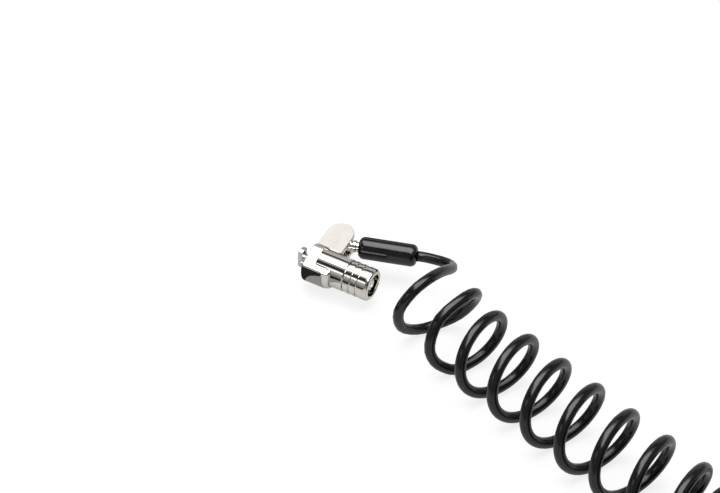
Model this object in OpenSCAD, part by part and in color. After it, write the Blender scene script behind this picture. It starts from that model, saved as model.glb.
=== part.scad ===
// Portable keyed laptop cable lock.
// The origin is the centre of the nose face that rests on the computer.
// +X runs out along the barrel, +Z is up and +Y is the side of the cable anchor.
// The lock is drawn closed: grip pushed home, T-bar turned across the slot.

/* [Barrel] */
// Outside diameter of the barrel and the grip
barrel_d = 9.8; // [9.6:0.1:11.4]
// Diameter of the bore that the grip slides in
bore_d = 7.2; // [7.1:0.05:7.4]
// Diameter of the neck that carries the collar
neck_d = 8.4; // [8.2:0.05:8.6]
// Barrel length behind the latch pocket
latch_wall = 0.85; // [0.5:0.05:2]
// Length of the grip behind the seam
grip_l = 7.85; // [7.85:0.05:10]
// Width of the seam between barrel and grip
seam = 0.3; // [0.2:0.05:0.5]
// Number of ring grooves cut in the grip, besides the one at the seam
ring_count = 2; // [1:1:2]
// Distance from one ring groove to the next
ring_pitch = 2.15; // [1.6:0.05:2.2]
// Width of a ring groove
ring_w = 1; // [0.4:0.1:1.1]
// Depth of a ring groove
ring_depth = 0.15; // [0.1:0.05:0.3]
// Width of the narrow slot at the start of a ring groove
ring_slot_w = 0.3; // [0.2:0.05:0.35]
// Depth of that slot below the groove
ring_slot_depth = 0.35; // [0.2:0.05:0.4]
// Radius of the rounded rear rim
rim_r = 1.0; // [0.4:0.1:1.2]
// Height of the shoulder on which the nose plate's flange holds the collar
shoulder = 0.35; // [0.25:0.05:0.4]

/* [Security slot side] */
// Thickness of slot wall that the T-bar reaches behind
slot_wall = 2.1; // [2.05:0.05:2.6]
// Length of the T-bar
tbar_l = 6.4; // [5.6:0.1:6.8]
// Width of the T-bar
tbar_w = 2.6; // [2.4:0.1:2.8]
// Thickness of the T-bar
tbar_t = 1.5; // [1.2:0.1:2]
// Diameter of the T-bar spindle
spindle_d = 2.4; // [2.2:0.05:2.5]
// Diameter of a locking pin
lock_pin_d = 1.5; // [1.3:0.05:1.55]
// Distance from the spindle to a locking pin
lock_pin_out = 2.6; // [2.57:0.01:2.63]
// How far the locking pins reach into the slot
lock_pin_reach = 1.9; // [1.4:0.1:1.9]
// Thickness of the nose plate's flange
flange_t = 0.7; // [0.6:0.05:1]
// Length of the nose plate's plug inside the barrel
plug_l = 1.5; // [1.2:0.1:2.2]

/* [Push action] */
// Travel of the grip
travel = 3; // [2.5:0.1:3.4]
// Turn of the T-bar over the travel
tbar_turn = 90; // [80:5:90]
// Length of the bush behind the nose plate
bush_l = 0.8; // [0.4:0.1:1.4]
// Length of the return spring when closed
spring_l = 3.4; // [3.2:0.1:4.5]
// Thickness of the clip that keeps the spindle in its bush
clip_t = 0.35; // [0.25:0.05:0.45]
// Diameter of the pin that stops the grip
stop_pin_d = 1; // [0.8:0.05:1.2]
// Depth of the slot in the grip that the stop pin runs in
stop_slot_depth = 0.5; // [0.3:0.05:0.6]
// Wire diameter of the return spring
spring_wire = 0.34; // [0.25:0.01:0.36]
// Turns of the return spring
spring_turns = 4; // [3:1:4]
// Thickness of the pin carrier
carrier_t = 0.8; // [0.6:0.1:1.2]
// Thickness of the cam nut
nut_t = 1.4; // [1:0.1:2]
// Side of the twisted cam screw
screw_side = 1.5; // [1.2:0.05:1.6]
// Bore inside the grip's sliding sleeve
sleeve_bore_d = 5.2; // [5:0.1:5.6]

/* [Key lock] */
// Diameter of the key well
well_d = 6.8; // [6.6:0.1:7.2]
// Diameter of the centre post
post_d = 3.8; // [3.4:0.1:4]
// How far the post's face is sunk below the rear face
post_sink = 0.7; // [0.3:0.1:1.4]
// Thickness of the rotor
rotor_t = 1.5; // [1.2:0.1:1.8]
// Length of the stator behind the rotor
stator_l = 2.3; // [2.2:0.1:2.6]
// Number of tumbler pins
tumbler_count = 7; // [5:1:8]
// Diameter of a tumbler pin
tumbler_d = 0.7; // [0.5:0.05:0.8]
// Throw of the latch bolt
latch_throw = 0.75; // [0.5:0.05:0.75]
// Width of the latch bolt
latch_w = 1.2; // [1:0.1:1.4]
// Thickness of the tail cam and the latch bolt along the barrel
cam_t = 0.9; // [0.7:0.05:1.3]

/* [Collar] */
// Outside diameter of the collar
collar_d = 11; // [10.8:0.1:12.4]
// Gap between the collar and the computer
collar_x = 0.2; // [0.15:0.05:0.3]
// Length of the collar's bearing on the neck
band_w = 2.5; // [2:0.1:4]
// Distance from the collar's nose end to the skirt's rear edge
collar_l = 7.8; // [6:0.1:8]
// Radius of the collar's rounded nose edge
collar_round = 0.7; // [0.3:0.1:0.7]
// Gap between the skirt and the barrel
skirt_gap = 0.15; // [0.05:0.05:0.2]
// Height of the bead on the skirt's rear edge
bead_h = 0.4; // [0.2:0.05:0.6]
// Width of that bead
bead_w = 1.3; // [0.6:0.1:1.4]
// Angle from +Y at which the skirt's opening starts
open_from = 47; // [42:1:60]
// Angle from +Y at which the skirt's opening ends
open_to = 141; // [120:1:160]

/* [Anchor ears] */
// Width of an ear along the barrel
ear_w = 8; // [7.4:0.1:8.4]
// Reach of an ear from the barrel's axis
ear_reach = 14.4; // [13.6:0.1:16]
// Thickness of an ear
ear_t = 1.35; // [1:0.05:1.8]
// Gap between the ears
ear_gap = 3.9; // [3.8:0.05:4.4]
// Bevel along an ear's outer edge
ear_bevel = 0.45; // [0.2:0.05:0.7]
// Tilt of the ears above the horizontal
ear_tilt = 9; // [0:1:20]
// Distance from the barrel's axis to the ear pivot
pivot_out = 9.3; // [9:0.1:9.8]
// Diameter of the pivot rivet
rivet_d = 2; // [1.6:0.1:2.4]
// Diameter of the rivet's head
rivet_head_d = 3.4; // [2.8:0.1:4.4]
// Thickness of the rivet's head
rivet_head_t = 0.5; // [0.3:0.05:0.8]

/* [Cable fitting] */
// Angle of the cable fitting from the barrel's direction
cable_angle = 16; // [14:1:20]
// Diameter of the swivel eye
eye_d = 5; // [4.2:0.1:5.6]
// Diameter of the eye's shank
shank_d = 2.4; // [2:0.1:2.8]
// Diameter over the rings of the ferrule
ferrule_d = 3.7; // [3.2:0.1:3.7]
// Distance from the pivot to the ferrule
ferrule_from = 3; // [2.9:0.1:3.4]
// Distance from the pivot to the cable sleeve
sleeve_from = 6.3; // [6.2:0.1:7.4]
// Length of the cable sleeve
sleeve_l = 17.5; // [14:0.5:19]
// Diameter of the cable sleeve
sleeve_d = 6.7; // [6:0.1:7.2]
// Radius of the sleeve's rounded ends
sleeve_round = 1.7; // [0.6:0.1:1.8]
// How deep the steel crimp starts inside the sleeve
crimp_in = 1; // [0.8:0.1:1.5]
// Wall of the steel crimp inside the sleeve
crimp_wall = 0.8; // [0.5:0.05:1]
// How far the eye's shank reaches into the sleeve
shank_in = 5; // [3:0.5:7]
// How far the cable's jacket reaches into the sleeve
jacket_in = 3; // [2:0.5:5]

/* [Cable] */
// Outside diameter of the cable
cable_d = 3.1; // [2.8:0.1:3.3]
// Height of the barrel's axis above the desk
desk_below = 7.5; // [7.3:0.1:8]
// Half width of the self-coiling cable's curls
curl_w = 11.2; // [9:0.1:13]
// Half height of the curls
curl_h = 9.4; // [8:0.1:12]
// Distance between the spread curls
curl_pitch = 11.9; // [8:0.1:13]
// Distance between the gathered curls
gathered_pitch = 3.8; // [3.8:0.1:4]
// Number of gathered curls
gathered_curls = 15; // [10:1:15]
// How far a curl's top leans back along the coil
curl_lean = 1.2; // [0:0.1:2]
// Length of the sleeve on the end loop
loop_sleeve_l = 15; // [12:0.5:20]
// Height of the sleeve on the end loop
loop_sleeve_h = 5.4; // [5:0.1:6]

/* [Hidden] */
$fn = 64;

running = 0.05; // radial clearance of a shaft in its hole
axial = 0.1; // end clearance of a piece that turns
over = 1; // how far a cutting tool runs past what it cuts

barrel_r = barrel_d / 2;
bore_r = bore_d / 2;
neck_r = neck_d / 2;
spindle_r = spindle_d / 2;
clip_groove_r = spindle_r - 0.25;
stop_pin_r = stop_pin_d / 2;
stop_slot_r = stop_pin_r + running;
lock_pin_r = lock_pin_d / 2;
slider_r = bore_r - running;
flange_r = neck_r + shoulder;
sleeve_bore_r = sleeve_bore_d / 2;
well_r = well_d / 2;
post_r = post_d / 2;
bush_r = lock_pin_out - lock_pin_r - running - 0.2;

// Places along the barrel, from the nose face outward.
bush_x = flange_t + plug_l;
spring_x = bush_x + bush_l;
clip_x = spring_x + running;
carrier_x = spring_x + spring_l;
nut_x = carrier_x + carrier_t;
spindle_x = carrier_x - 0.2;
screw_x = nut_x + travel + 0.7;
cam_x = screw_x + 0.15;
pocket_x = cam_x + cam_t + running;
barrel_x = pocket_x + latch_wall;
grip_x = barrel_x + seam;
seam_ring_x = barrel_x + 0.1;
stator_x = grip_x + 0.5;
rotor_x = stator_x + stator_l + running;
floor_x = rotor_x + rotor_t;
rear_x = grip_x + grip_l;
post_x = rear_x - post_sink;
stop_pin_x = grip_x - 1.8;
bearing_x = flange_t + axial;
band_x = bearing_x + band_w;
skirt_x = collar_x + collar_l;

// The latch bolt, drawn back inside the grip's sleeve.
tail_r = 0.6;
cam_r = 0.85;
lobe_r = 1.45;
lobe_w = 0.4;
latch_foot = cam_r + 0.1;
latch_top = slider_r - 0.1;

tumbler_r = tumbler_d / 2;
tumbler_ring = (post_r + well_r) / 2;

ear_r = ear_w / 2;
ear_x = ear_r + 0.1;
ear_top = ear_gap / 2 + ear_t;
rivet_r = rivet_d / 2;
eye_t = ear_gap - 2 * axial;
cable_r = cable_d / 2;
crimp_r = shank_d / 2 + crimp_wall;
crimp_x = sleeve_from + crimp_in;
sleeve_end = sleeve_from + sleeve_l;
jacket_x = sleeve_end - jacket_in;

// The coil lies on the desk and runs away from the lock.
coil_foot = [37.8, -3.2];
coil_turn = -18.6;
curl_rings = 8;
cord_sides = 6;
lead_sides = 8;
spread_from = 1.5;
spread_to = 8.5;
gathered_to = spread_to + gathered_curls;
coil_axis_z = -desk_below + cable_r + curl_h;

// Route of the cable from the sleeve, through the loose first curl, to the even ones.
lead_route = [[36.6, 15.8, 4.2], [39.9, 11.8, 6.9], [40, 4, 11.5], [39.2, -3, 13.8],
    [37.2, -8.7, 12.3], [35, -11.7, 6.4], [35.4, -10.1, -0.6], [38, -4.8, -4.9], [41.8, 0.7, -5.4],
    [46.6, 4.5, -2.2], [50.2, 5.3, 4.2], [51.9, 1.9, 10.7], [51.1, -4.6, 13.9], [48, -13.2, 11.2],
    [47.6, -17.3, 4.5], [49.3, -16.8, -1.3], [52.4, -14.2, -4.9]];
// Route from the last curl to the end loop: along the coil, behind it and above the desk.
tail_route = [[159.6, 8, 1.6], [159.8, 13, 1.7], [159.4, 17, 1.9], [157.9, 20.8, 2.2], [154.8, 24, 2.5]];
// Where the end loop's sleeve starts, in the same measure.
loop_start = [146, 26, 2.7];
// Half of the end loop: out from its sleeve, to the side and above the desk.
loop_half = [[5.5, 2.4, 2.5], [10, 4.9, 2.1], [15, 7.9, 1.8], [20.5, 9.8, 1.6], [26, 9.9, 1.6],
    [30.6, 7.6, 1.6], [33.4, 3.6, 1.6]];

function unit(v) = v / norm(v);
function tangent(p, i) = unit(p[min(i + 1, len(p) - 1)] - p[max(i - 1, 0)]);
function sideways(n, t) = unit(n - (n * t) * t);

// The points with a smooth line through all but the straight ends, in steps from each to the next.
function smoothed(p, steps) = concat([p[0]],
    [for (i = [1 : len(p) - 3], k = [0 : steps - 1]) let (u = k / steps)
        (2 * p[i] + (p[i + 1] - p[i - 1]) * u
        + (2 * p[i - 1] - 5 * p[i] + 4 * p[i + 1] - p[i + 2]) * pow(u, 2)
        + (3 * p[i] - p[i - 1] - 3 * p[i + 1] + p[i + 2]) * pow(u, 3)) / 2],
    [p[len(p) - 2], p[len(p) - 1]]);

// Normals carried along a path without twist, from a given side.
function normals(p, side) = [for (i = 0, n = sideways(side, tangent(p, 0)); i < len(p);
    n = sideways(n, tangent(p, min(i + 1, len(p) - 1))), i = i + 1) n];

// A tube of the given radius along a path.
module tube(path, r, sides, side = [0.3, 0.2, 1]) {
    n = normals(path, side);
    last = len(path) - 1;
    points = [for (i = [0 : last], k = [0 : sides - 1])
        let (t = tangent(path, i), b = cross(t, n[i]), a = 360 * k / sides)
        path[i] + r * (cos(a) * n[i] + sin(a) * b)];
    walls = [for (i = [0 : last - 1], k = [0 : sides - 1])
        let (a = i * sides + k, b = i * sides + (k + 1) % sides)
        each [[a, a + sides, b], [b, a + sides, b + sides]]];
    caps = [for (k = [1 : sides - 2]) each [[0, k, k + 1],
        [last * sides, last * sides + k + 1, last * sides + k]]];
    polyhedron(points, concat(walls, caps));
}

// A solid of revolution about X, from [place along X, radius] points.
module turned(profile) {
    rotate([0, 90, 0]) rotate_extrude() polygon([for (p = profile) [p[1], p[0]]]);
}

// Quarter round between a face and a radius: way 1 where the face starts a piece, -1 where it ends one.
function round_end(face, way, r, size) = [for (i = [0 : 6]) let (a = way > 0 ? 15 * i : 90 - 15 * i)
    [face + way * size * (1 - cos(a)), r - size * (1 - sin(a))]];

// A round bar along X from one place to another.
module bar(from, to, r) {
    translate([from, 0, 0]) rotate([0, 90, 0]) cylinder(h = to - from, r = r);
}

// Places in the plane of the ears: along X, out from the axis, and across the ears.
module in_ears() {
    rotate([ear_tilt, 0, 0]) children();
}

// The cable fitting's own axis, which starts at the ear pivot.
module in_fitting() {
    in_ears() translate([ear_x, pivot_out, 0]) rotate([0, 0, cable_angle]) children();
}

function ear_place(p) = [p.x, p.y * cos(ear_tilt) - p.z * sin(ear_tilt),
    p.y * sin(ear_tilt) + p.z * cos(ear_tilt)];
function fitting_place(d) = ear_place([ear_x + d * cos(cable_angle),
    pivot_out + d * sin(cable_angle), 0]);

// The coil: along it, towards its front and up.
coil_dir = [cos(coil_turn), sin(coil_turn), 0];
coil_front = [sin(coil_turn), -cos(coil_turn), 0];
function gathered(a) = curl_pitch * min(a, spread_to) + gathered_pitch * max(a - spread_to, 0);
function curl_place(a) = [coil_foot.x, coil_foot.y, coil_axis_z]
    + coil_dir * (gathered(a) - curl_lean * cos(360 * a))
    + coil_front * (curl_w * sin(360 * a))
    + [0, 0, curl_h * cos(360 * a)];
function desk_place(p) = [coil_foot.x, coil_foot.y, 0] + coil_dir * p.x - coil_front * p.y
    + [0, 0, p.z - desk_below];
function curls(from, to) = [for (i = [0 : round((to - from) * curl_rings)])
    curl_place(from + i / curl_rings)];
function curl_heading(a) = unit(curl_place(a + 0.01) - curl_place(a - 0.01));

// The smallest space between stretches of one cord that are at least apart rings from each other.
function least_gap(p, r, apart) = min([for (i = [0 : len(p) - 1 - apart])
    min([for (j = [i + apart : len(p) - 1]) norm(p[i] - p[j])])]) - 2 * r;

// A stretch of curls, whose ends run straight for one diameter.
function curled(from, to) = let (rings = curls(from, to), last = len(rings) - 1)
    concat([rings[0], rings[0] + curl_heading(from) * cable_d],
        [for (i = [1 : last - 1]) rings[i]],
        [rings[last] - curl_heading(to) * cable_d, rings[last]]);

coil_path = curled(spread_from, spread_to);
coil_end_side = let (n = normals(coil_path, coil_dir)) n[len(n) - 1];
lead_path = smoothed(concat([fitting_place(sleeve_end), fitting_place(sleeve_end + cable_d)],
    lead_route, [coil_path[0] - curl_heading(spread_from) * cable_d, coil_path[0]]), 2);

loop_dir = -coil_dir;
loop_side = cable_r + 0.05;
loop_head = desk_place(loop_start);
function loop_place(p, way) = loop_head + loop_dir * (loop_sleeve_l + p.x)
    + coil_front * (way * p.y) + [0, 0, p.z - loop_start.z];
loop_leg = concat([[0, loop_side, loop_start.z], [cable_d, loop_side, loop_start.z]], loop_half);
loop_path = concat([for (p = loop_leg) loop_place(p, -1)],
    [for (i = [len(loop_leg) - 1 : -1 : 0]) loop_place(loop_leg[i], 1)]);
store_path = let (rings = curled(spread_to, gathered_to))
    concat([for (i = [0 : len(rings) - 3]) rings[i]], [rings[len(rings) - 1]],
        [for (p = tail_route) desk_place(p)], [loop_head - loop_dir * cable_d, loop_head]);

echo(least_gap_of_lead = least_gap(lead_path, cable_r, 6));
echo(least_gap_of_coil = least_gap(coil_path, cable_r, curl_rings - 2));
echo(least_gap_of_store = least_gap(store_path, cable_r, curl_rings - 2));

spring_r = spindle_r + 0.1 + spring_wire / 2;
spring_path = let (wire = spring_wire / 2 + 0.03, from = clip_x + clip_t + wire,
    rise = carrier_x - wire - from) [for (i = [0 : spring_turns * curl_rings]) let (a = 360 * i / curl_rings)
    [from + rise * i / (spring_turns * curl_rings), spring_r * cos(a), spring_r * sin(a)]];
echo(least_gap_of_spring = least_gap(spring_path, spring_wire / 2, curl_rings - 2));

// Barrel with its neck for the collar, the grip's bore and the latch pocket.
module barrel() {
    color("silver") difference() {
        turned([[flange_t, bore_r], [flange_t, neck_r], [band_x + axial, neck_r],
            [band_x + axial, barrel_r - 0.15], [band_x + axial + 0.15, barrel_r],
            [barrel_x - 0.15, barrel_r], [barrel_x, barrel_r - 0.15], [barrel_x, bore_r]]);
        latch_cut(bore_r - over, latch_top + latch_throw + 0.1);
        translate([stop_pin_x, 0, -barrel_r - over]) cylinder(h = barrel_r, r = stop_pin_r);
    }
}

// Pin pressed through the barrel's wall, which keeps the grip from being pulled out.
module stop_pin() {
    color("gainsboro") translate([stop_pin_x, 0, -barrel_r + 0.1])
        cylinder(h = barrel_r - 0.1 - slider_r + stop_slot_depth - 0.1, r = stop_pin_r);
}

// The opening that the latch bolt works in, between two heights.
module latch_cut(low, high) {
    translate([cam_x - running, -latch_w / 2 - running, low])
        cube([cam_t + 2 * running, latch_w + 2 * running, high - low]);
}

// Nose plate: the flange that rests on the computer, with holes for spindle and pins.
module nose_plate() {
    color("silver") difference() {
        turned([[0, 0], [0, flange_r - 0.2], [0.2, flange_r], [flange_t, flange_r],
            [flange_t, bore_r], [bush_x, bore_r], [bush_x, 0]]);
        bar(-over, bush_x + over, spindle_r + running);
        bar(flange_t, bush_x + over, bush_r);
        for (side = [-1, 1]) translate([0, side * lock_pin_out, 0])
            bar(-over, bush_x + over, lock_pin_r + running);
    }
}

// Bearing bush of the spindle, pressed into the nose plate.
module spindle_bush() {
    color("goldenrod") turned([[flange_t, spindle_r + running], [flange_t, bush_r],
        [spring_x, bush_r], [spring_x, spindle_r + running]]);
}

// T-bar and spindle in one piece.
module tbar_spindle() {
    color("silver") difference() {
        union() {
            bar(-slot_wall, spindle_x, spindle_r);
            intersection() {
                translate([-slot_wall - tbar_t, -tbar_w / 2, -tbar_l / 2]) cube([tbar_t, tbar_w, tbar_l]);
                turned([[-slot_wall - tbar_t, 0], [-slot_wall - tbar_t, tbar_l / 2 - 0.4],
                    [-slot_wall - tbar_t + 0.4, tbar_l / 2], [-slot_wall, tbar_l / 2], [-slot_wall, 0]]);
            }
        }
        bar(spindle_x - 1.5, spindle_x + over, 0.5);
        // groove for the clip
        difference() {
            bar(clip_x, clip_x + clip_t, spindle_r + over);
            bar(clip_x - over, clip_x + clip_t + over, clip_groove_r);
        }
    }
}

// Open clip in the spindle's groove, which the spring holds against the bush.
module spindle_clip() {
    color("gainsboro") difference() {
        bar(clip_x, clip_x + clip_t, bush_r);
        bar(clip_x - over, clip_x + clip_t + over, clip_groove_r);
        translate([clip_x - over, 0, -clip_groove_r * 0.7])
            cube([clip_t + 2 * over, bush_r + over, clip_groove_r * 1.4]);
    }
}

// A square bar along X that twists as the cam screw does.
module twisted(from, to, side) {
    turn = -tbar_turn / travel;
    translate([from, 0, 0]) rotate([90, 0, 90]) rotate([0, 0, turn * (from - nut_x)])
        linear_extrude(height = to - from, twist = -turn * (to - from), segments = 4,
            slices = ceil((to - from) * 4))
        square(side, center = true);
}

// Twisted square screw on the spindle's rear end.
module cam_screw() {
    color("gainsboro") union() {
        twisted(spindle_x, screw_x, screw_side);
        bar(spindle_x - 1.4, spindle_x + 0.2, 0.5);
    }
}

// Two pins that enter the slot beside the spindle.
module locking_pins() {
    color("gainsboro") for (side = [-1, 1]) translate([0, side * lock_pin_out, 0])
        turned([[-lock_pin_reach, 0], [-lock_pin_reach, lock_pin_r - 0.25],
            [-lock_pin_reach + 0.25, lock_pin_r], [nut_x, lock_pin_r], [nut_x, 0]]);
}

// Disc that carries the locking pins and takes the spring's push.
module pin_carrier() {
    color("darkgray") difference() {
        bar(carrier_x, nut_x, slider_r);
        bar(carrier_x - over, nut_x + over, spindle_r + 0.1);
        for (side = [-1, 1]) translate([0, side * lock_pin_out, 0])
            bar(carrier_x - over, nut_x + over, lock_pin_r);
    }
}

module return_spring() {
    color("lightgray") tube(spring_path, spring_wire / 2, cord_sides);
}

// Nut with a twisted square hole, which turns the screw as the grip moves.
module cam_nut() {
    color("goldenrod") difference() {
        bar(nut_x, nut_x + nut_t, sleeve_bore_r);
        twisted(nut_x - 0.5, nut_x + nut_t + 0.5, screw_side + 0.3);
    }
}

// Grip: ringed knob outside, sliding sleeve inside, key well at the rear.
module grip_shell() {
    groove_r = barrel_r - ring_depth;
    slot_r = groove_r - ring_slot_depth;
    rings = [for (i = [1 : ring_count]) seam_ring_x + i * ring_pitch];
    color("silver") difference() {
        turned(concat([[nut_x, sleeve_bore_r], [nut_x, slider_r], [grip_x, slider_r], [grip_x, groove_r],
            [seam_ring_x + ring_w, groove_r], [seam_ring_x + ring_w + 0.1, barrel_r]],
            [for (x = rings) each [[x - 0.05, barrel_r], [x, slot_r], [x + ring_slot_w, slot_r],
                [x + ring_slot_w, groove_r], [x + ring_w, groove_r], [x + ring_w + 0.1, barrel_r]]],
            round_end(rear_x, -1, barrel_r, rim_r),
            [[rear_x, well_r + 0.1], [rear_x - 0.1, well_r], [stator_x, well_r], [stator_x, sleeve_bore_r]]));
        latch_cut(sleeve_bore_r - over, slider_r + over);
        // slot for the stop pin, as long as the grip's travel
        translate([stop_pin_x, 0, -slider_r - over]) {
            for (x = [-travel, 0]) translate([x, 0, 0]) cylinder(h = over + stop_slot_depth, r = stop_slot_r);
            translate([-travel, -stop_slot_r, 0]) cube([travel, 2 * stop_slot_r, over + stop_slot_depth]);
        }
    }
}

// The holes or pins of the tumbler ring.
module tumbler_ring_of(from, to, r) {
    for (i = [0 : tumbler_count - 1]) rotate([360 * i / tumbler_count, 0, 0])
        translate([0, 0, tumbler_ring]) bar(from, to, r);
}

// Fixed half of the key lock, pressed into the grip.
module lock_stator() {
    color("darkkhaki") difference() {
        bar(stator_x, rotor_x - running, well_r);
        bar(stator_x - over, rotor_x + over, tail_r + running);
        tumbler_ring_of(stator_x + 0.3, rotor_x + over, tumbler_r + running);
    }
}

driver_x = stator_x + 1.15;

module driver_pins() {
    color("gainsboro") tumbler_ring_of(driver_x, rotor_x - running, tumbler_r);
}

// One small coil spring behind each driver pin.
module driver_springs() {
    wire = 0.06;
    from = stator_x + 0.3 + wire + 0.02;
    rise = driver_x - wire - 0.02 - from;
    path = [for (i = [0 : 12]) let (a = 60 * i)
        [from + rise * i / 12, (tumbler_r - 0.1) * cos(a), (tumbler_r - 0.1) * sin(a)]];
    color("lightgray") for (i = [0 : tumbler_count - 1]) rotate([360 * i / tumbler_count, 0, 0])
        translate([0, 0, tumbler_ring]) tube(path, wire, 4);
}

// Turning half of the key lock, with the centre post and the tail.
module key_rotor() {
    color("silver") difference() {
        union() {
            bar(cam_x, rotor_x + 0.5, tail_r);
            bar(rotor_x, floor_x, well_r - running);
            turned([[floor_x - 0.5, 0], [floor_x - 0.5, post_r], [post_x - 0.3, post_r],
                [post_x, post_r - 0.3], [post_x, 0]]);
        }
        tumbler_ring_of(rotor_x - over, floor_x + over, tumbler_r + running);
        translate([post_x - 0.6, -0.3, -post_r - over]) cube([over + 0.6, 0.6, post_r + over]);
    }
}

module key_pins() {
    color("goldenrod") tumbler_ring_of(rotor_x, floor_x + 0.15, tumbler_r);
}

// Cam on the rotor's tail, whose lobe throws the latch bolt.
module tail_cam() {
    color("gray") difference() {
        union() {
            bar(cam_x, cam_x + cam_t, cam_r);
            translate([cam_x, 0, -lobe_w / 2]) cube([cam_t, lobe_r, lobe_w]);
        }
        bar(cam_x - over, cam_x + cam_t + over, tail_r);
    }
}

module latch_bolt() {
    color("gainsboro") translate([cam_x, -latch_w / 2, latch_foot])
        cube([cam_t, latch_w, latch_top - latch_foot]);
}

// One ear: straight sides and a round end, bevelled on its outer face.
module ear(flip) {
    low = ear_gap / 2;
    mirror([0, 0, flip ? 1 : 0]) {
        translate([ear_x, ear_reach - ear_r, low]) {
            cylinder(h = ear_t - ear_bevel, r = ear_r);
            translate([0, 0, ear_t - ear_bevel]) cylinder(h = ear_bevel, r1 = ear_r, r2 = ear_r - ear_bevel);
        }
        translate([ear_x, ear_reach - ear_r, low]) rotate([90, 0, 0])
            linear_extrude(height = ear_reach - ear_r - 2)
            polygon([[-ear_r, 0], [ear_r, 0], [ear_r, ear_t - ear_bevel],
                [ear_r - ear_bevel, ear_t], [-ear_r + ear_bevel, ear_t], [-ear_r, ear_t - ear_bevel]]);
    }
}

// Collar that turns on the barrel's neck, with a skirt along the barrel and two ears.
module anchor_collar() {
    collar_r = collar_d / 2;
    skirt_in = barrel_r + skirt_gap;
    level_edge = collar_r * sin(open_to);
    steps = 12;
    color("silver") difference() {
        union() {
            turned(concat([[collar_x, 0]], round_end(collar_x, 1, collar_r, collar_round),
                [[skirt_x - bead_w, collar_r]],
                [for (i = [1 : steps - 1]) let (a = 180 * i / steps)
                    [skirt_x - bead_w / 2 - bead_w / 2 * cos(a), collar_r + bead_h * sin(a)]],
                [[skirt_x, collar_r], [skirt_x, 0]]));
            in_ears() for (flip = [false, true]) ear(flip);
        }
        // the neck's bearing, and room for the flange and for the barrel inside the skirt
        bar(-over, skirt_x + over, neck_r + running);
        bar(-over, bearing_x, flange_r + axial);
        bar(band_x, skirt_x + over, skirt_in);
        // the skirt is open on top, and its edge away from the ears is cut level
        translate([band_x, 0, 0]) rotate([90, 0, 90]) linear_extrude(height = collar_l)
            polygon([[0, 0], 2 * collar_d * [cos(open_from), sin(open_from)], [0, 3 * collar_d],
                [-2 * collar_d, 3 * collar_d], [-2 * collar_d, level_edge], [0, level_edge]]);
        // the rivet's hole: through the lower ear and blind in the upper one
        in_ears() translate([ear_x, pivot_out, -ear_top - over])
            cylinder(h = 2 * ear_top + over - 0.6, r = rivet_r);
    }
}

module pivot_rivet() {
    color("gainsboro") in_ears() translate([ear_x, pivot_out, 0]) {
        translate([0, 0, -ear_top]) cylinder(h = 2 * ear_top - 0.6, r = rivet_r);
        translate([0, 0, -ear_top - rivet_head_t]) cylinder(h = rivet_head_t, r1 = rivet_head_d / 2 - 0.3,
            r2 = rivet_head_d / 2);
    }
}

// Eye that swings on the rivet, with the shank that the cable is crimped to.
module swivel_eye() {
    color("silver") in_fitting() difference() {
        union() {
            translate([0, 0, -eye_t / 2 + 0.3]) cylinder(h = eye_t - 0.6, r = eye_d / 2);
            translate([0, 0, eye_t / 2 - 0.3]) cylinder(h = 0.3, r1 = eye_d / 2, r2 = eye_d / 2 - 0.3);
            translate([0, 0, -eye_t / 2]) cylinder(h = 0.3, r1 = eye_d / 2 - 0.3, r2 = eye_d / 2);
            bar(0, sleeve_from + shank_in, shank_d / 2);
        }
        translate([0, 0, -eye_t]) cylinder(h = 2 * eye_t, r = rivet_r + running);
    }
}

// Ringed ferrule on the shank, between the ears and the sleeve.
module crimp_ferrule() {
    r = ferrule_d / 2;
    groove = r - 0.35;
    from = ferrule_from;
    to = sleeve_from;
    w = (to - from) / 6;
    color("silver") in_fitting() turned([[from, shank_d / 2], [from, r - 0.2], [from + 0.2, r],
        [from + 2 * w, r], [from + 2 * w + 0.15, groove], [from + 3 * w - 0.15, groove],
        [from + 3 * w, r], [from + 4.4 * w, r], [from + 4.4 * w + 0.15, groove],
        [to, groove], [to, shank_d / 2]]);
}

// Moulded sleeve over the crimp, closed round the eye's shank.
module cable_sleeve() {
    r = sleeve_d / 2;
    edge = min(sleeve_round, r - cable_r - 0.1);
    color("#111111") in_fitting() turned(concat(
        [[crimp_x, crimp_r], [crimp_x, shank_d / 2], [sleeve_from, shank_d / 2]],
        round_end(sleeve_from, 1, r, edge), round_end(sleeve_end, -1, r, edge),
        [[sleeve_end, cable_r], [jacket_x, cable_r], [jacket_x, crimp_r]]));
}

module cable_crimp() {
    color("gray") in_fitting() turned([[crimp_x, shank_d / 2], [crimp_x, crimp_r],
        [jacket_x, crimp_r], [jacket_x, shank_d / 2]]);
}

// The end of the cable, held in the crimp.
module cable_core() {
    from = sleeve_from + shank_in + 0.2;
    color("dimgray") in_fitting() turned([[from, 0], [from, shank_d / 2], [jacket_x, shank_d / 2],
        [jacket_x, cable_r], [sleeve_end, cable_r], [sleeve_end, 0]]);
}

module cable_lead() {
    color("#141414") tube(lead_path, cable_r, lead_sides);
}

module cable_coil() {
    color("#141414") tube(coil_path, cable_r, cord_sides, coil_dir);
}

module cable_store() {
    color("#141414") tube(store_path, cable_r, cord_sides, coil_end_side);
}

module cable_loop() {
    color("#141414") tube(loop_path, cable_r, lead_sides);
}

module in_loop_sleeve() {
    translate(loop_head) rotate([0, 0, coil_turn + 180]) children();
}

module loop_crimp() {
    color("gray") in_loop_sleeve() translate([1, 0, 0]) rotate([90, 0, 90])
        linear_extrude(height = loop_sleeve_l - 2) flat_oval(loop_sleeve_h / 2 - 0.9);
}

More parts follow.
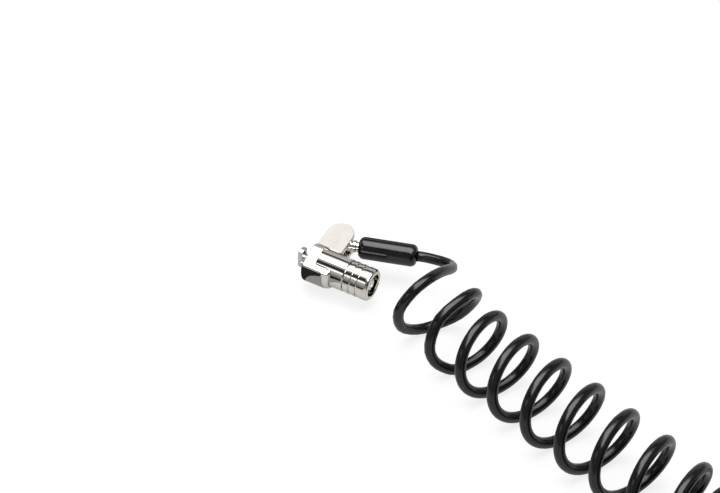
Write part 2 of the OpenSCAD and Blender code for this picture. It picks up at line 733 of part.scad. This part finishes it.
module loop_sleeve() {
    color("#111111") in_loop_sleeve() difference() {
        rotate([90, 0, 90]) linear_extrude(height = loop_sleeve_l) flat_oval(loop_sleeve_h / 2);
        translate([1, 0, 0]) rotate([90, 0, 90]) linear_extrude(height = loop_sleeve_l - 2)
            flat_oval(loop_sleeve_h / 2 - 0.9);
    }
}

// A flat oval round two cables that lie side by side.
module flat_oval(r) {
    for (side = [-1, 1]) translate([side * loop_side, 0]) circle(r = r);
    square([2 * loop_side, 2 * r], center = true);
}

barrel();
stop_pin();
nose_plate();
spindle_bush();
tbar_spindle();
spindle_clip();
cam_screw();
locking_pins();
pin_carrier();
return_spring();
cam_nut();
grip_shell();
lock_stator();
driver_pins();
driver_springs();
key_rotor();
key_pins();
tail_cam();
latch_bolt();
anchor_collar();
pivot_rivet();
swivel_eye();
crimp_ferrule();
cable_sleeve();
cable_crimp();
cable_core();
cable_lead();
cable_coil();
cable_store();
cable_loop();
loop_crimp();
loop_sleeve();
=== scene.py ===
"""A keyed cable lock for a portable computer, dressed for the camera.

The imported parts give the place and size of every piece. Lengths are in metres, written as
a number of millimetres times mm. +X runs out along the lock's barrel and +Z is up. The
sections follow the lock as it is put together: the cable and its two ends first, then the
collar, the barrel and what goes inside it, and the grip with its key lock.
"""

import math

import bmesh
import bpy
from mathutils import Matrix, Vector


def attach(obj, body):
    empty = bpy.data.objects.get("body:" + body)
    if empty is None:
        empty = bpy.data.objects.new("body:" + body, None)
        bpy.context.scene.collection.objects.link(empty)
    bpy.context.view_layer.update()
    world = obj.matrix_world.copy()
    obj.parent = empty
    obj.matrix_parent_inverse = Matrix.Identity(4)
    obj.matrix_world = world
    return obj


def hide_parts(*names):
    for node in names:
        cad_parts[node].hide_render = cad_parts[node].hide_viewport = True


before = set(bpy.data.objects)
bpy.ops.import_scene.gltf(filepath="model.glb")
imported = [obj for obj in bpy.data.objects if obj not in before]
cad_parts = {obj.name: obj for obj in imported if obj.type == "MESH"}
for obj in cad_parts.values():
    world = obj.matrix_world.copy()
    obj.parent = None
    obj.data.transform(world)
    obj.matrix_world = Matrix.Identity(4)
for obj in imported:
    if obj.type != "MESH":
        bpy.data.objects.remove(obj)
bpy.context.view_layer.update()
scene = bpy.context.scene
mm = 0.001

# ---------------------------------------------------------------------------
# Camera
# A long lens looks down on the lock from the front right, a little rolled.
# ---------------------------------------------------------------------------

camera_azimuth = math.radians(26.38)
camera_elevation = math.radians(41.1)
camera_roll = math.radians(3.66)
camera_distance = 449.86 * mm
camera_right = 14.486 * mm
camera_up = 4.071 * mm

back = Vector((math.sin(camera_azimuth) * math.cos(camera_elevation),
               -math.cos(camera_azimuth) * math.cos(camera_elevation),
               math.sin(camera_elevation)))
level_right = Vector((math.cos(camera_azimuth), math.sin(camera_azimuth), 0))
level_up = back.cross(level_right)
right = level_right * math.cos(camera_roll) + level_up * math.sin(camera_roll)
up = back.cross(right)

camera = bpy.data.objects.new("camera", bpy.data.cameras.new("camera"))
camera.data.lens = 76.58
camera.data.sensor_width = 36
camera.data.clip_start = 10 * mm
camera.data.clip_end = 20
camera.matrix_world = Matrix((right, up, back)).transposed().to_4x4()
camera.location = right * camera_right + up * camera_up + back * camera_distance
scene.collection.objects.link(camera)
scene.camera = camera
scene.view_settings.view_transform = "Standard"

# ---------------------------------------------------------------------------
# Studio
# A white table under one wide soft lamp and a weaker one in front. Paper cards half a metre
# above the table, which only polished surfaces reflect, give the plated metal its bands:
# a soft box over the lock, black and grey cards in front of it and a dark one behind.
# ---------------------------------------------------------------------------

desk_level = -7.5
desk = desk_level * mm
cards_level = 500


def card(name, corners):
    """A flat sheet of any outline, which isn't part of the lock."""
    data = bpy.data.meshes.new(name)
    data.from_pydata([Vector(corner) * mm for corner in corners], [],
                     [range(len(corners))])
    sheet = bpy.data.objects.new(name, data)
    scene.collection.objects.link(sheet)
    return sheet


def glow(sheet, level, one_sided=False):
    """Gives a card an even light that only shows in reflections, from both sides or one."""
    paint = bpy.data.materials.new(sheet.name)
    paint.use_nodes = True
    nodes, links = paint.node_tree.nodes, paint.node_tree.links
    nodes.clear()
    emission = nodes.new("ShaderNodeEmission")
    emission.inputs["Color"].default_value = (level, level, level, 1)
    output = nodes.new("ShaderNodeOutputMaterial")
    links.new(emission.outputs[0], output.inputs["Surface"])
    if one_sided:
        clear = nodes.new("ShaderNodeBsdfTransparent")
        facing = nodes.new("ShaderNodeNewGeometry")
        choice = nodes.new("ShaderNodeMixShader")
        links.new(facing.outputs["Backfacing"], choice.inputs["Fac"])
        links.new(emission.outputs[0], choice.inputs[1])
        links.new(clear.outputs[0], choice.inputs[2])
        links.new(choice.outputs[0], output.inputs["Surface"])
    sheet.data.materials.append(paint)
    sheet.visible_camera = False
    sheet.visible_diffuse = False
    sheet.visible_transmission = False
    sheet.visible_shadow = False


def level_card(name, edges, height):
    """A card that lies level, between its left, right, front and rear edge."""
    left, right, front, rear = edges
    return card(name, [(x, y, height) for x, y in ((left, front), (right, front),
                                                   (right, rear), (left, rear))])


glow(card("soft_box", [(x, y, cards_level) for x, y in (
    (-600, 150), (-185, -60), (25, -275), (300, -275), (300, 225), (-600, 225))]), 4.2)
for name, edges, lift, level in (("soft_edge", (-600, 300, 225, 360), 0, 1.05),
                                 ("soft_front", (-600, -150, -200, -45), 2, 0.4),
                                 ("black_card", (-600, 300, -420, -200), 4, 0.03),
                                 ("pale_board", (-600, -125, -740, -485), 0, 1.3),
                                 ("front_glow", (-600, -150, -1750, -750), 0, 0.4),
                                 ("dark_board", (-600, 300, 430, 630), 0, 0.05)):
    glow(level_card(name, edges, cards_level + lift), level)
glow(card("rear_board", ((-600, 500, 70), (300, 500, 70), (300, 500, 325), (-600, 500, 325))),
     0.5)

# Stand-ins for the computer, which is not built, seen only in reflections: its dark side, which
# the collar mirrors and the T-bar doesn't, and a darker card on the table beside it, painted
# shade for the shadow that the computer throws there.
computer_x = -0.25
computer_low = desk_level + 0.3
computer_high = 3.2
glow(card("computer_side", ((computer_x, -100, computer_low), (computer_x, 100, computer_low),
                            (computer_x, 100, computer_high), (computer_x, -100, computer_high))),
     0.02, one_sided=True)
# Painted shade: a darker glow card lying on the table where the computer's shadow falls.
glow(level_card("computer_shade", (computer_x, 6.5, -60, 60), desk_level + 0.2), 0.3)

# The table glows a little for the camera and for what is mirrored, so that it stays white
# and still takes a soft shadow.
camera_glow = 0.79
mirrored_glow = 0.37
table = level_card("table", (-2000, 2000, -2000, 2000), desk_level)
paint = bpy.data.materials.new("table")
paint.use_nodes = True
nodes, links = paint.node_tree.nodes, paint.node_tree.links
cloth = nodes["Principled BSDF"]
cloth.inputs["Base Color"].default_value = (0.23, 0.23, 0.23, 1)
cloth.inputs["Roughness"].default_value = 0.9
cloth.inputs["Specular IOR Level"].default_value = 0
cloth.inputs["Emission Color"].default_value = (1, 1, 1, 1)
light_path = nodes.new("ShaderNodeLightPath")
seen = nodes.new("ShaderNodeMath")
seen.operation = "MULTIPLY_ADD"
seen.inputs[1].default_value = camera_glow
links.new(light_path.outputs["Is Camera Ray"], seen.inputs[0])
mirrored = nodes.new("ShaderNodeMath")
mirrored.operation = "MULTIPLY"
mirrored.inputs[1].default_value = mirrored_glow
both = nodes.new("ShaderNodeMath")
both.operation = "MAXIMUM"
links.new(light_path.outputs["Is Glossy Ray"], both.inputs[0])
links.new(light_path.outputs["Is Transmission Ray"], both.inputs[1])
links.new(both.outputs[0], mirrored.inputs[0])
links.new(mirrored.outputs[0], seen.inputs[2])
links.new(seen.outputs[0], cloth.inputs["Emission Strength"])
table.data.materials.append(paint)

world = bpy.data.worlds.new("studio")
world.use_nodes = True
scene.world = world
nodes, links = world.node_tree.nodes, world.node_tree.links
light_path = nodes.new("ShaderNodeLightPath")
ambient = nodes.new("ShaderNodeMix")
ambient.data_type = "RGBA"
ambient.inputs["A"].default_value = (0.22, 0.22, 0.22, 1)
ambient.inputs["B"].default_value = (1, 1, 1, 1)
links.new(light_path.outputs["Is Camera Ray"], ambient.inputs["Factor"])
links.new(ambient.outputs["Result"], nodes["Background"].inputs["Color"])

for name, place, size, watts in (("soft_lamp", (-80, 60, 700), 700, 6.0),
                                 ("front_lamp", (150, -600, 450), 500, 1.4)):
    lamp = bpy.data.objects.new(name, bpy.data.lights.new(name, "AREA"))
    lamp.data.size = size * mm
    lamp.data.energy = watts
    lamp.location = Vector(place) * mm
    lamp.rotation_euler = (-lamp.location).to_track_quat("-Z", "Y").to_euler()
    lamp.visible_glossy = False
    scene.collection.objects.link(lamp)

# ---------------------------------------------------------------------------
# Cable
# Twisted steel strands in an extruded jacket of glossy black vinyl, set into a spring by
# heat. It leaves the lock's sleeve, hooks round through a loose first curl and lies on the
# desk. Further on the curls are gathered close, and a tail runs back to the end loop.
# ---------------------------------------------------------------------------

cable_radius = 1.55 * mm
cable_width = 2 * cable_radius
ear_tilt = math.radians(9)
ear_middle = 4.1
pivot_out = 9.3 * mm
cable_angle = math.radians(16)
ear_pivot = Vector((ear_middle * mm, pivot_out * math.cos(ear_tilt),
                    pivot_out * math.sin(ear_tilt)))
fitting_dir = Vector((math.cos(cable_angle),
                      math.sin(cable_angle) * math.cos(ear_tilt),
                      math.sin(cable_angle) * math.sin(ear_tilt)))
sleeve_start = 6.3 * mm
sleeve_length = 17.5 * mm
cable_exit = ear_pivot + fitting_dir * (sleeve_start + sleeve_length)

coil_foot = Vector((37.8 * mm, -3.2 * mm, 0))
coil_turn = math.radians(-18.6)
coil_dir = Vector((math.cos(coil_turn), math.sin(coil_turn), 0))
coil_front = Vector((math.sin(coil_turn), -math.cos(coil_turn), 0))
curl_half_width = 11.2 * mm
curl_half_height = 9.4 * mm
curl_pitch = 11.9 * mm
gathered_pitch = 3.8 * mm
curl_lean = 1.2 * mm
spread_from = 1.5
spread_to = 8.5
gathered_to = 23.5


def curl_place(a):
    """Centre of the cable a curls along the coil."""
    turn = math.tau * a
    along = curl_pitch * min(a, spread_to) + gathered_pitch * max(a - spread_to, 0)
    middle = desk + cable_radius + curl_half_height
    return (coil_foot + coil_dir * (along - curl_lean * math.cos(turn))
            + coil_front * curl_half_width * math.sin(turn)
            + Vector((0, 0, middle + curl_half_height * math.cos(turn))))


def desk_place(along, behind, height):
    """A point measured in millimetres along the coil, behind it and above the desk."""
    return (coil_foot + coil_dir * (along * mm) - coil_front * (behind * mm)
            + Vector((0, 0, desk + height * mm)))


def rounded(points, steps):
    """The points with a smooth line through them, in so many steps from each to the next."""
    line = []
    for i in range(len(points) - 1):
        before = points[max(i - 1, 0)]
        here, there = points[i], points[i + 1]
        after = points[min(i + 2, len(points) - 1)]
        for k in range(steps):
            u = k / steps
            line.append(0.5 * (2 * here + (there - before) * u
                               + (2 * before - 5 * here + 4 * there - after) * u ** 2
                               + (3 * here - before - 3 * there + after) * u ** 3))
    return line + [points[-1]]


def sweep(name, line, radius, sides=20):
    """A closed round tube along a line, whose UV map runs along it and round it in metres."""
    mesh = bmesh.new()
    run = mesh.loops.layers.uv.new("run")
    side = Vector((0.3, 0.2, 1))
    rings = []
    gone = [0.0]
    for a, b in zip(line, line[1:]):
        gone.append(gone[-1] + (b - a).length)
    for i, centre in enumerate(line):
        heading = (line[min(i + 1, len(line) - 1)] - line[max(i - 1, 0)]).normalized()
        side = (side - heading * side.dot(heading)).normalized()
        other = heading.cross(side)
        rings.append([mesh.verts.new(centre + radius * (math.cos(math.tau * k / sides) * side
                                                        + math.sin(math.tau * k / sides) * other))
                      for k in range(sides)])
    step = math.tau * radius / sides
    for i, (a, b) in enumerate(zip(rings, rings[1:])):
        for k in range(sides):
            face = mesh.faces.new((a[k - 1], a[k], b[k], b[k - 1]))
            face.smooth = True
            low, high = (k or sides) - 1, k or sides
            for loop, place in zip(face.loops, ((gone[i], low), (gone[i], high),
                                                (gone[i + 1], high), (gone[i + 1], low))):
                loop[run].uv = (place[0], place[1] * step)
    mesh.faces.new(reversed(rings[0]))
    mesh.faces.new(rings[-1])
    data = bpy.data.meshes.new(name)
    mesh.to_mesh(data)
    mesh.free()
    piece = bpy.data.objects.new(name, data)
    scene.collection.objects.link(piece)
    return piece


def new_group(name, inputs, outputs):
    """An empty node group with named inputs and outputs, and the two nodes that carry them."""
    tree = bpy.data.node_groups.new(name, "ShaderNodeTree")
    for way, labels in (("INPUT", inputs), ("OUTPUT", outputs)):
        for label in labels:
            kind = "NodeSocketColor" if "Colour" in label else "NodeSocketFloat"
            tree.interface.new_socket(label, in_out=way, socket_type=kind)
    return tree, tree.nodes.new("NodeGroupInput"), tree.nodes.new("NodeGroupOutput")


def noise(tree, place, scale, detail, low=0.0, high=1.0):
    """A value that wanders between low and high: numbers, or sockets that give them."""
    maker = tree.nodes.new("ShaderNodeTexNoise")
    maker.inputs["Detail"].default_value = detail
    # Nearly all of the noise lies in the middle of its range, which is spread out here.
    spread = tree.nodes.new("ShaderNodeMapRange")
    spread.inputs["From Min"].default_value = 0.3
    spread.inputs["From Max"].default_value = 0.7
    for value, socket in ((place, maker.inputs["Vector"]), (scale, maker.inputs["Scale"]),
                          (low, spread.inputs["To Min"]), (high, spread.inputs["To Max"])):
        if isinstance(value, (int, float)):
            socket.default_value = value
        else:
            tree.links.new(value, socket)
    tree.links.new(maker.outputs["Fac"], spread.inputs["Value"])
    return spread.outputs["Result"]


# The grain of a surface: patches of two colours, haze in its polish and a faint relief.
grain, given, made = new_group(
    "grain", ("Colour A", "Colour B", "Patches", "Rough Low", "Rough High", "Haze", "Relief"),
    ("Colour", "Roughness", "Height"))
place = grain.nodes.new("ShaderNodeTexCoord").outputs["Object"]
tint = grain.nodes.new("ShaderNodeMix")
tint.data_type = "RGBA"
grain.links.new(noise(grain, place, given.outputs["Patches"], 2), tint.inputs["Factor"])
grain.links.new(given.outputs["Colour A"], tint.inputs["A"])
grain.links.new(given.outputs["Colour B"], tint.inputs["B"])
grain.links.new(tint.outputs["Result"], made.inputs["Colour"])
grain.links.new(noise(grain, place, given.outputs["Haze"], 4, given.outputs["Rough Low"],
                      given.outputs["Rough High"]), made.inputs["Roughness"])
grain.links.new(noise(grain, place, given.outputs["Relief"], 2), made.inputs["Height"])


def finish_of(name, colours, patches, rough, haze, relief, depth, marks=None, **settings):
    """A material with the grain's colour, polish and relief, under marks of its own.

    Patches, haze and relief are scales of noise, and depth is how deep the relief is.
    """
    skin = bpy.data.materials.new(name)
    skin.use_nodes = True
    tree = skin.node_tree
    shader = tree.nodes["Principled BSDF"]
    for label, value in settings.items():
        shader.inputs[label.replace("_", " ")].default_value = value
    grained = tree.nodes.new("ShaderNodeGroup")
    grained.node_tree = grain
    for label, value in (("Colour A", (*colours[0], 1)), ("Colour B", (*colours[1], 1)),
                         ("Patches", patches), ("Rough Low", rough[0]),
                         ("Rough High", rough[1]), ("Haze", haze), ("Relief", relief)):
        grained.inputs[label].default_value = value
    tree.links.new(grained.outputs["Colour"], shader.inputs["Base Color"])
    tree.links.new(grained.outputs["Roughness"], shader.inputs["Roughness"])
    normal = None
    for height, size in ((grained.outputs["Height"], depth), *(marks(tree) if marks else ())):
        bump = tree.nodes.new("ShaderNodeBump")
        bump.inputs["Distance"].default_value = size
        tree.links.new(height, bump.inputs["Height"])
        if normal:
            tree.links.new(normal, bump.inputs["Normal"])
        normal = bump.outputs["Normal"]
    tree.links.new(normal, shader.inputs["Normal"])
    return skin


lead_route = [Vector(p) * mm for p in (
    (36.6, 15.8, 4.2), (39.9, 11.8, 6.9), (40, 4, 11.5), (39.2, -3, 13.8),
    (37.2, -8.7, 12.3), (35, -11.7, 6.4), (35.4, -10.1, -0.6), (38, -4.8, -4.9),
    (41.8, 0.7, -5.4), (46.6, 4.5, -2.2), (50.2, 5.3, 4.2), (51.9, 1.9, 10.7),
    (51.1, -4.6, 13.9), (48, -13.2, 11.2), (47.6, -17.3, 4.5), (49.3, -16.8, -1.3),
    (52.4, -14.2, -4.9))]
tail_route = [desk_place(*p) for p in (
    (159.6, 8, 1.6), (159.8, 13, 1.7), (159.4, 17, 1.9), (157.9, 20.8, 2.2), (154.8, 24, 2.5))]
loop_head = desk_place(146, 26, 2.7)
cable_steps = 3
curl_steps = 16
coil_line = [curl_place(spread_from + i / curl_steps)
             for i in range(round((gathered_to - spread_from) * curl_steps) + 1)]
join_heading = (curl_place(spread_from + 0.01) - curl_place(spread_from - 0.01)).normalized()
cable_line = rounded(
    [cable_exit, cable_exit + fitting_dir * cable_width] + lead_route
    + [coil_line[0] - join_heading * cable_width] + coil_line + tail_route
    + [loop_head + coil_dir * cable_width, loop_head], cable_steps)
cable = sweep("cable", cable_line, cable_radius)


def extrusion_lines(tree):
    """Faint lines along the jacket, left by the die."""
    run = tree.nodes.new("ShaderNodeUVMap")
    run.uv_map = "run"
    stretched = tree.nodes.new("ShaderNodeMapping")
    stretched.inputs["Scale"].default_value = (60, 2600, 1)
    tree.links.new(run.outputs["UV"], stretched.inputs["Vector"])
    return ((noise(tree, stretched.outputs["Vector"], 1.0, 3), 0.004 * mm),)


vinyl = finish_of("black_vinyl", colours=((0.0015, 0.0015, 0.0018), (0.003, 0.003, 0.0034)),
                  patches=90, rough=(0.16, 0.26), haze=1400, relief=420, depth=0.012 * mm,
                  marks=extrusion_lines, IOR=1.56)
cable.data.materials.append(vinyl)
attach(cable, "cable")
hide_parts("cable_lead", "cable_coil", "cable_store")

# ---------------------------------------------------------------------------
# End loop
# The cable's far end is turned back on itself as a closed loop, which goes round a desk leg
# or an anchor so that the lock's head can be passed through it.
# ---------------------------------------------------------------------------

loop_sleeve_length = 15 * mm
loop_steps = 5
loop_half = ((0, 1.6, 2.7), (3.1, 1.6, 2.7), (5.5, 2.4, 2.5), (10, 4.9, 2.1), (15, 7.9, 1.8),
             (20.5, 9.8, 1.6), (26, 9.9, 1.6), (30.6, 7.6, 1.6), (33.4, 3.6, 1.6))


def loop_place(p, way):
    """A point of the end loop: out from its sleeve, to one side and above the desk."""
    out, aside, height = p
    return (loop_head - coil_dir * (loop_sleeve_length + out * mm)
            + coil_front * (way * aside * mm) + Vector((0, 0, desk + height * mm - loop_head.z)))


loop_line = rounded([loop_place(p, -1) for p in loop_half]
                    + [loop_place(p, 1) for p in reversed(loop_half)], loop_steps)
end_loop = sweep("end_loop", loop_line, cable_radius)
end_loop.data.materials.append(vinyl)
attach(end_loop, "cable")
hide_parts("cable_loop")

# ---------------------------------------------------------------------------
# Crimps and cable end
# Plain steel tubes, pressed flat on the strands of the loop and of the cable's head end.
# Both are covered by the moulded sleeves. The strands end inside the head's crimp.
# ---------------------------------------------------------------------------


def dress(nodes, skin):
    """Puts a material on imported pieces, in place of what they came with."""
    for node in nodes.split():
        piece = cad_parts[node]
        piece.data.materials.clear()
        piece.data.materials.append(skin)


inner_steel = finish_of("inner_steel", colours=((0.44, 0.44, 0.43), (0.55, 0.55, 0.54)),
                        patches=500, rough=(0.3, 0.45), haze=2500, relief=5000,
                        depth=0.006 * mm, Metallic=1)
cable_steel = finish_of("cable_steel", colours=((0.28, 0.28, 0.28), (0.42, 0.42, 0.41)),
                        patches=900, rough=(0.3, 0.45), haze=4000, relief=7000,
                        depth=0.01 * mm, Metallic=1)
dress("loop_crimp cable_crimp", inner_steel)
dress("cable_core", cable_steel)

# ---------------------------------------------------------------------------
# Swivel eye and ferrule
# The eye is a zinc casting with a shank, plated in bright nickel. A ringed ferrule is pushed
# over the shank and closes the gap between the collar's ears and the sleeve.
# ---------------------------------------------------------------------------

nickel = finish_of("nickel", colours=((0.8, 0.765, 0.715), (0.87, 0.835, 0.785)),
                   patches=300, rough=(0.03, 0.07), haze=1800, relief=260, depth=0.008 * mm,
                   Metallic=1)
dress("swivel_eye crimp_ferrule", nickel)

# ---------------------------------------------------------------------------
# Sleeves
# Glossy black plastic, moulded over the crimps: a round one with rounded ends at the lock,
# and a flat oval one over both legs of the end loop.
# ---------------------------------------------------------------------------

sleeve_plastic = finish_of("black_sleeve",
                           colours=((0.0015, 0.0015, 0.0018), (0.0028, 0.0028, 0.0032)),
                           patches=150, rough=(0.12, 0.2), haze=2500, relief=500,
                           depth=0.008 * mm, IOR=1.6)
dress("cable_sleeve loop_sleeve", sleeve_plastic)

# ---------------------------------------------------------------------------
# Collar
# A zinc casting with two ears, plated as the barrel is. A flat is cast on its upper far side,
# its skirt is open on top and ends in a rounded lip. It is pushed on the barrel's neck before
# the nose plate goes in, so it turns and can't come off.
# ---------------------------------------------------------------------------

# The collar's cross-section, in millimetres and in degrees up from the ears' side.
neck_bore = 4.65
skirt_bore = 5.04
ear_side_radius = 5.5
flat_radius = 4.82
flat_angle = 113.5
flat_to_ears_round = 0.02
flat_to_side_round = 0.1
side_centre = (0.514, 0.53)
side_radius = 6.82
side_to = 225.8
under_radius = 6.08
under_turn = 105
skirt_from = 141.5
skirt_to = 407

# The rounded nose and the lip at the skirt's end, which is shorter beside the ears.
nose_from = 0.2
nose_round = 0.36
nose_steps = 8
lip_from = 6.8
lip_shorter = 0.4
lip_shorter_from = 300
lip_shorter_turn = 30

# Along the collar: place, how far the surface lies inside the full shape, and the bore.
collar_rows = [(nose_from + nose_round * (1 - math.sin(math.radians(90 * i / nose_steps))),
                nose_round * (1 - math.cos(math.radians(90 * i / nose_steps))), neck_bore)
               for i in range(nose_steps, -1, -1)]
skirt_row = len(collar_rows) + 2
collar_rows += [(1.0, 0, neck_bore), (2.5, 0, neck_bore), (3.57, 0, neck_bore),
                (3.7, 0, skirt_bore), (4.0, 0, skirt_bore), (5.4, 0, skirt_bore),
                (6.6, 0, skirt_bore), (6.8, 0, skirt_bore), (6.95, 0.03, skirt_bore),
                (7.3, 0.1, skirt_bore), (7.7, 0.19, skirt_bore), (8.05, 0.29, skirt_bore),
                (8.35, 0.43, skirt_bore), (8.6, 0.62, skirt_bore), (8.75, 0.84, skirt_bore)]
# The rounded corner where the skirt's cut edge meets the band, in degrees per row.
notch_corner = {skirt_row: -5.0, skirt_row + 1: -2.6, skirt_row + 2: -0.6}


def blended(a, b, soft):
    """The lesser of two numbers, with a soft change from one to the other."""
    return min(a, b) - soft * math.log(1 + math.exp(-abs(a - b) / soft))


def full_radius(angle):
    """Distance of the collar's surface from the barrel's axis, in millimetres."""
    angle %= 360
    turn = math.radians(angle)
    inward = side_centre[0] * math.cos(turn) + side_centre[1] * math.sin(turn)
    side = inward + math.sqrt(side_radius ** 2 - side_centre[0] ** 2 - side_centre[1] ** 2
                              + inward ** 2)
    facing_flat = math.cos(math.radians(angle - flat_angle))
    flat = flat_radius / facing_flat if facing_flat > 0.2 else math.inf
    if angle <= flat_angle:
        return blended(ear_side_radius, flat, flat_to_ears_round)
    if angle < side_to:
        return blended(side, flat, flat_to_side_round)
    share = min((angle - side_to) / under_turn, 1)
    return under_radius + (ear_side_radius - under_radius) * share ** 2 * (3 - 2 * share)


# Angles round the collar, closest where its surface bends most.
collar_angles = [start + (end - start) * i / steps
                 for start, end, steps in ((47, 90, 8), (90, 98, 6), (98, skirt_from, 9),
                                           (skirt_from, 150, 4), (150, 164, 28),
                                           (164, 226, 16), (226, skirt_to, 40))
                 for i in range(steps)]
skirt_column = collar_angles.index(skirt_from)
columns = len(collar_angles)


def around(x, radius, angle):
    """A point in metres, at a place along the barrel and a radius and angle round it."""
    turn = math.radians(angle)
    return Vector((x, radius * math.cos(turn), radius * math.sin(turn))) * mm


def collar_has(row, column):
    """Whether there is metal between this row and column and the next ones."""
    return (0 <= row < len(collar_rows) - 1
            and (row < skirt_row or column % columns >= skirt_column))


thinnest_wall = 0.06
mesh = bmesh.new()
outside, inside = [], []
for row, (x, drop, bore) in enumerate(collar_rows):
    outside.append([])
    inside.append([])
    for column, angle in enumerate(collar_angles):
        near_ears = min(max((angle - lip_shorter_from) / lip_shorter_turn, 0), 1)
        if angle <= skirt_from:
            near_ears = 1
        lip = lip_from + (x - lip_from) * (1 - lip_shorter * near_ears) if x > lip_from else x
        if column == skirt_column:
            angle += notch_corner.get(row, 0)
        radius = max(full_radius(angle) - drop, bore + thinnest_wall)
        outside[-1].append(mesh.verts.new(around(lip, radius, angle)))
        # The skirt's edge is cut level.
        if column == skirt_column and row >= skirt_row:
            height = min(radius * math.sin(math.radians(angle)) / bore, 1)
            angle = 180 - math.degrees(math.asin(height))
        inside[-1].append(mesh.verts.new(around(lip, bore, angle)))
for row in range(len(collar_rows) - 1):
    for column in range(columns):
        if collar_has(row, column):
            ahead = (column + 1) % columns
            corners = ((row, column), (row, ahead), (row + 1, ahead), (row + 1, column))
            mesh.faces.new([outside[i][j] for i, j in corners])
            mesh.faces.new([inside[i][j] for i, j in corners])
            for side, beyond in enumerate(((row - 1, column), (row, column + 1),
                                           (row + 1, column), (row, column - 1))):
                if not collar_has(*beyond):
                    (i, j), (k, l) = corners[side], corners[(side + 1) % 4]
                    mesh.faces.new((outside[i][j], outside[k][l], inside[k][l], inside[i][j]))
bmesh.ops.delete(mesh, geom=[v for v in mesh.verts if not v.link_faces], context="VERTS")

# The ears: half their width, how far out the centre of their round end lies, the heights of
# their faces from the plane between them, and their bevel.
ear_half = 4.1
ear_end = 10.8
ear_low = 1.95
ear_high = 3.3
ear_bevel = 0.15
ear_steps = 32
ear_out = Vector((0, math.cos(ear_tilt), math.sin(ear_tilt)))
ear_up = Vector((0, -math.sin(ear_tilt), math.cos(ear_tilt)))
for way in (1, -1):
    rings = []
    # Each level of an ear starts inside the band.
    for height, root, inset in ((ear_low, 4.9, 0), (ear_high - ear_bevel, 4.45, 0),
                                (ear_high, 4.15, ear_bevel)):
        half = ear_half - inset
        outline = [(ear_middle + half, root)]
        outline += [(ear_middle + half * math.cos(math.pi * i / ear_steps),
                     ear_end + half * math.sin(math.pi * i / ear_steps))
                    for i in range(ear_steps + 1)]
        outline.append((ear_middle - half, root))
        rings.append([mesh.verts.new((Vector((x, 0, 0)) + ear_out * out
                                      + ear_up * (way * height)) * mm) for x, out in outline])
    mesh.faces.new(rings[0])
    mesh.faces.new(rings[-1])
    for low, high in zip(rings, rings[1:]):
        for i in range(len(low)):
            mesh.faces.new((low[i - 1], low[i], high[i], high[i - 1]))
bmesh.ops.recalc_face_normals(mesh, faces=mesh.faces)
for face in mesh.faces:
    face.smooth = True
data = bpy.data.meshes.new("collar")
mesh.to_mesh(data)
mesh.free()
edge_angle = math.radians(20)
data.set_sharp_from_angle(angle=edge_angle)
collar = bpy.data.objects.new("collar", data)
scene.collection.objects.link(collar)
collar.data.materials.append(nickel)
# Tumbling and polishing break its sharp edges.
broken = collar.modifiers.new("broken edges", "BEVEL")
broken.width = 0.05 * mm
broken.segments = 3
broken.limit_method = "ANGLE"
broken.angle_limit = edge_angle
broken.harden_normals = True
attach(collar, "anchor")
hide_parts("anchor_collar")

# ---------------------------------------------------------------------------
# Barrel and stop pin
# The barrel is turned from zinc bar and plated like a mirror. The pin is pressed through its
# wall from below once the grip is in, and runs in a slot of the grip.
# ---------------------------------------------------------------------------

dress("barrel", nickel)
dress("stop_pin", inner_steel)

# ---------------------------------------------------------------------------
# Nose plate and bush
# The plate's flange rests on the computer and holds the collar. It is pressed into the
# barrel's bore, and a brass bush for the spindle is pressed into the plate.
# ---------------------------------------------------------------------------

brass = finish_of("brass", colours=((0.7, 0.53, 0.24), (0.8, 0.65, 0.35)), patches=600,
                  rough=(0.2, 0.32), haze=2500, relief=5000, depth=0.004 * mm, Metallic=1)
dress("nose_plate", nickel)
dress("spindle_bush", brass)

# ---------------------------------------------------------------------------
# T-bar, cam screw and locking pins
# Hardened and ground steel. The T-bar is one piece with its spindle, the twisted square
# screw is fixed in the spindle's end, and the two pins are pressed into their carrier.
# ---------------------------------------------------------------------------

hard_steel = finish_of("hard_steel", colours=((0.6, 0.6, 0.59), (0.7, 0.7, 0.69)),
                       patches=700, rough=(0.2, 0.34), haze=3000, relief=4000,
                       depth=0.004 * mm, Metallic=1)
dress("tbar_spindle cam_screw locking_pins", hard_steel)
dress("pin_carrier", inner_steel)

# ---------------------------------------------------------------------------
# Clip and return spring
# Drawn spring steel. The clip snaps into the spindle's groove behind the bush, and the
# spring stands between it and the carrier and pushes the grip out.
# ---------------------------------------------------------------------------

spring_steel = finish_of("spring_steel", colours=((0.55, 0.55, 0.53), (0.64, 0.64, 0.62)),
                         patches=900, rough=(0.22, 0.3), haze=6000, relief=9000,
                         depth=0.002 * mm, Metallic=1)
dress("spindle_clip return_spring", spring_steel)

# ---------------------------------------------------------------------------
# Grip and cam nut
# The grip is turned and plated as the barrel is, with ring grooves for the fingers. The
# brass nut is pressed into the front of its sleeve, and turns the screw as the grip moves.
# ---------------------------------------------------------------------------

dress("grip_shell", nickel)
dress("cam_nut", brass)

# ---------------------------------------------------------------------------
# Key lock
# A brass stator is pressed into the grip, with a spring and a steel driver in each of seven
# bores. The plated rotor with its post carries the brass key pins, and is held by its cam.
# ---------------------------------------------------------------------------

dress("lock_stator key_pins", brass)
dress("driver_springs", spring_steel)
dress("driver_pins latch_bolt", hard_steel)
dress("key_rotor", nickel)
dress("tail_cam", inner_steel)

# ---------------------------------------------------------------------------
# Rivet
# A steel rivet goes through the lower ear and the eye into the upper ear, where it ends
# blind, so that the upper ear's face stays whole. It is pressed in from below.
# ---------------------------------------------------------------------------

dress("pivot_rivet", hard_steel)
